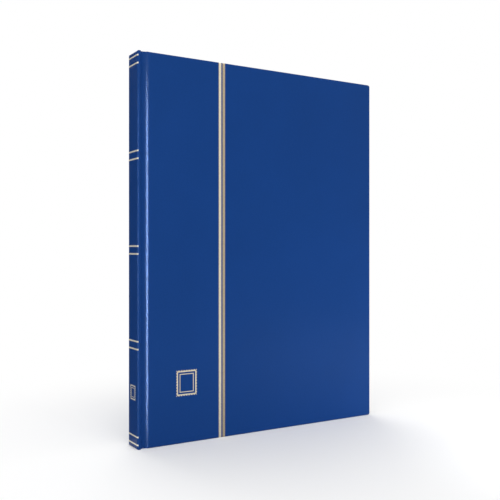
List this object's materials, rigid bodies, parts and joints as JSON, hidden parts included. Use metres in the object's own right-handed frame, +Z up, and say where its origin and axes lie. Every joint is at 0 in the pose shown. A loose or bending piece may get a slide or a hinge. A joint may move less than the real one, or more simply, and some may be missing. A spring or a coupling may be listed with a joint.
{
  "type": "stamp album",
  "caption": "Closed hard-cover stamp stockbook in blue leatherette with gold foil lines, whose covers and pocketed card leaves turn on cloth joints at the spine.",
  "frame": {"origin": "on the surface it stands on, under the middle of the closed album", "axes": "+X from the spine to the fore-edge, +Y from the front cover to the back cover, +Z up from tail to head"},
  "size_m": [0.23, 0.019, 0.305],
  "materials": {
    "leatherette": "blue embossed leatherette, satin, fine grain",
    "greyboard": "raw grey binder's board",
    "gold_foil": "pressed pale gold foil, satin",
    "endpaper": "black endpaper, matte",
    "linen": "black book linen, plain weave",
    "page_card": "black page card, matte",
    "clear_film": "clear pocket film, glossy",
    "glassine": "translucent glassine sheet"
  },
  "bodies": {
    "spine": {"spine_board": "greyboard", "spine_leatherette": "leatherette", "spine_foil_bands": "gold_foil", "spine_lining": "linen", "leaf_1_hinge": "linen", "leaf_2_hinge": "linen", "leaf_3_hinge": "linen", "leaf_4_hinge": "linen", "leaf_5_hinge": "linen", "leaf_6_hinge": "linen", "leaf_7_hinge": "linen", "leaf_8_hinge": "linen", "interleaf_1_margin": "glassine", "interleaf_2_margin": "glassine", "interleaf_3_margin": "glassine", "interleaf_4_margin": "glassine", "interleaf_5_margin": "glassine", "interleaf_6_margin": "glassine", "interleaf_7_margin": "glassine"},
    "front_cover": {"front_board": "greyboard", "front_leatherette": "leatherette", "front_foil_stripes": "gold_foil", "front_pastedown": "endpaper", "front_joint": "leatherette", "front_joint_linen": "linen"},
    "back_cover": {"back_board": "greyboard", "back_leatherette": "leatherette", "back_pastedown": "endpaper", "back_joint": "leatherette", "back_joint_linen": "linen"},
    "leaf_1": {"leaf_1": "page_card", "leaf_1_strips": "clear_film"},
    "leaf_2": {"leaf_2": "page_card", "leaf_2_strips": "clear_film"},
    "leaf_3": {"leaf_3": "page_card", "leaf_3_strips": "clear_film"},
    "leaf_4": {"leaf_4": "page_card", "leaf_4_strips": "clear_film"},
    "leaf_5": {"leaf_5": "page_card", "leaf_5_strips": "clear_film"},
    "leaf_6": {"leaf_6": "page_card", "leaf_6_strips": "clear_film"},
    "leaf_7": {"leaf_7": "page_card", "leaf_7_strips": "clear_film"},
    "leaf_8": {"leaf_8": "page_card", "leaf_8_strips": "clear_film"},
    "interleaf_1": {"interleaf_1": "glassine"},
    "interleaf_2": {"interleaf_2": "glassine"},
    "interleaf_3": {"interleaf_3": "glassine"},
    "interleaf_4": {"interleaf_4": "glassine"},
    "interleaf_5": {"interleaf_5": "glassine"},
    "interleaf_6": {"interleaf_6": "glassine"},
    "interleaf_7": {"interleaf_7": "glassine"}
  },
  "joints": [
    {"name": "front_cover_hinge", "type": "hinge", "parent": "spine", "child": "front_cover", "pos_m": [-0.1134, -0.0093, 0.1525], "axis": [0, 0, -1], "range_deg": [0, 178], "deforming": ["front_joint", "front_joint_linen"]},
    {"name": "back_cover_hinge", "type": "hinge", "parent": "spine", "child": "back_cover", "pos_m": [-0.1134, 0.0093, 0.1525], "axis": [0, 0, 1], "range_deg": [0, 178], "deforming": ["back_joint", "back_joint_linen"]},
    {"name": "leaf_1_turn", "type": "hinge", "parent": "spine", "child": "leaf_1", "pos_m": [-0.103, -0.00551, 0.1525], "axis": [0, 0, -1], "range_deg": [0, 135], "deforming": ["leaf_1_hinge"]},
    {"name": "interleaf_1_turn", "type": "hinge", "parent": "spine", "child": "interleaf_1", "pos_m": [-0.10225, -0.00473, 0.1525], "axis": [0, 0, -1], "range_deg": [0, 120], "deforming": ["interleaf_1_margin"]},
    {"name": "leaf_2_turn", "type": "hinge", "parent": "spine", "child": "leaf_2", "pos_m": [-0.1015, -0.00394, 0.1525], "axis": [0, 0, -1], "range_deg": [0, 105], "deforming": ["leaf_2_hinge"]},
    {"name": "interleaf_2_turn", "type": "hinge", "parent": "spine", "child": "interleaf_2", "pos_m": [-0.10075, -0.00315, 0.1525], "axis": [0, 0, -1], "range_deg": [0, 90], "deforming": ["interleaf_2_margin"]},
    {"name": "leaf_3_turn", "type": "hinge", "parent": "spine", "child": "leaf_3", "pos_m": [-0.1, -0.00236, 0.1525], "axis": [0, 0, -1], "range_deg": [0, 75], "deforming": ["leaf_3_hinge"]},
    {"name": "interleaf_3_turn", "type": "hinge", "parent": "spine", "child": "interleaf_3", "pos_m": [-0.09925, -0.00158, 0.1525], "axis": [0, 0, -1], "range_deg": [0, 60], "deforming": ["interleaf_3_margin"]},
    {"name": "leaf_4_turn", "type": "hinge", "parent": "spine", "child": "leaf_4", "pos_m": [-0.0985, -0.00079, 0.1525], "axis": [0, 0, -1], "range_deg": [0, 45], "deforming": ["leaf_4_hinge"]},
    {"name": "interleaf_4_turn", "type": "hinge", "parent": "spine", "child": "interleaf_4", "pos_m": [-0.09775, 0, 0.1525], "axis": [0, 0, -1], "range_deg": [0, 20], "deforming": ["interleaf_4_margin"]},
    {"name": "leaf_5_turn", "type": "hinge", "parent": "spine", "child": "leaf_5", "pos_m": [-0.0985, 0.00079, 0.1525], "axis": [0, 0, 1], "range_deg": [0, 45], "deforming": ["leaf_5_hinge"]},
    {"name": "interleaf_5_turn", "type": "hinge", "parent": "spine", "child": "interleaf_5", "pos_m": [-0.09925, 0.00158, 0.1525], "axis": [0, 0, 1], "range_deg": [0, 60], "deforming": ["interleaf_5_margin"]},
    {"name": "leaf_6_turn", "type": "hinge", "parent": "spine", "child": "leaf_6", "pos_m": [-0.1, 0.00236, 0.1525], "axis": [0, 0, 1], "range_deg": [0, 75], "deforming": ["leaf_6_hinge"]},
    {"name": "interleaf_6_turn", "type": "hinge", "parent": "spine", "child": "interleaf_6", "pos_m": [-0.10075, 0.00315, 0.1525], "axis": [0, 0, 1], "range_deg": [0, 90], "deforming": ["interleaf_6_margin"]},
    {"name": "leaf_7_turn", "type": "hinge", "parent": "spine", "child": "leaf_7", "pos_m": [-0.1015, 0.00394, 0.1525], "axis": [0, 0, 1], "range_deg": [0, 105], "deforming": ["leaf_7_hinge"]},
    {"name": "interleaf_7_turn", "type": "hinge", "parent": "spine", "child": "interleaf_7", "pos_m": [-0.10225, 0.00473, 0.1525], "axis": [0, 0, 1], "range_deg": [0, 120], "deforming": ["interleaf_7_margin"]},
    {"name": "leaf_8_turn", "type": "hinge", "parent": "spine", "child": "leaf_8", "pos_m": [-0.103, 0.00551, 0.1525], "axis": [0, 0, 1], "range_deg": [0, 135], "deforming": ["leaf_8_hinge"]}
  ],
  "couplings": [
    {"joint": "leaf_1_turn", "follows": "front_cover_hinge", "ratio": 0.75843},
    {"joint": "interleaf_1_turn", "follows": "front_cover_hinge", "ratio": 0.67416},
    {"joint": "leaf_2_turn", "follows": "front_cover_hinge", "ratio": 0.58989},
    {"joint": "interleaf_2_turn", "follows": "front_cover_hinge", "ratio": 0.50562},
    {"joint": "leaf_3_turn", "follows": "front_cover_hinge", "ratio": 0.42135},
    {"joint": "interleaf_3_turn", "follows": "front_cover_hinge", "ratio": 0.33708},
    {"joint": "leaf_4_turn", "follows": "front_cover_hinge", "ratio": 0.25281},
    {"joint": "interleaf_4_turn", "follows": "front_cover_hinge", "ratio": 0.11236},
    {"joint": "leaf_5_turn", "follows": "back_cover_hinge", "ratio": 0.25281},
    {"joint": "interleaf_5_turn", "follows": "back_cover_hinge", "ratio": 0.33708},
    {"joint": "leaf_6_turn", "follows": "back_cover_hinge", "ratio": 0.42135},
    {"joint": "interleaf_6_turn", "follows": "back_cover_hinge", "ratio": 0.50562},
    {"joint": "leaf_7_turn", "follows": "back_cover_hinge", "ratio": 0.58989},
    {"joint": "interleaf_7_turn", "follows": "back_cover_hinge", "ratio": 0.67416},
    {"joint": "leaf_8_turn", "follows": "back_cover_hinge", "ratio": 0.75843}
  ]
}
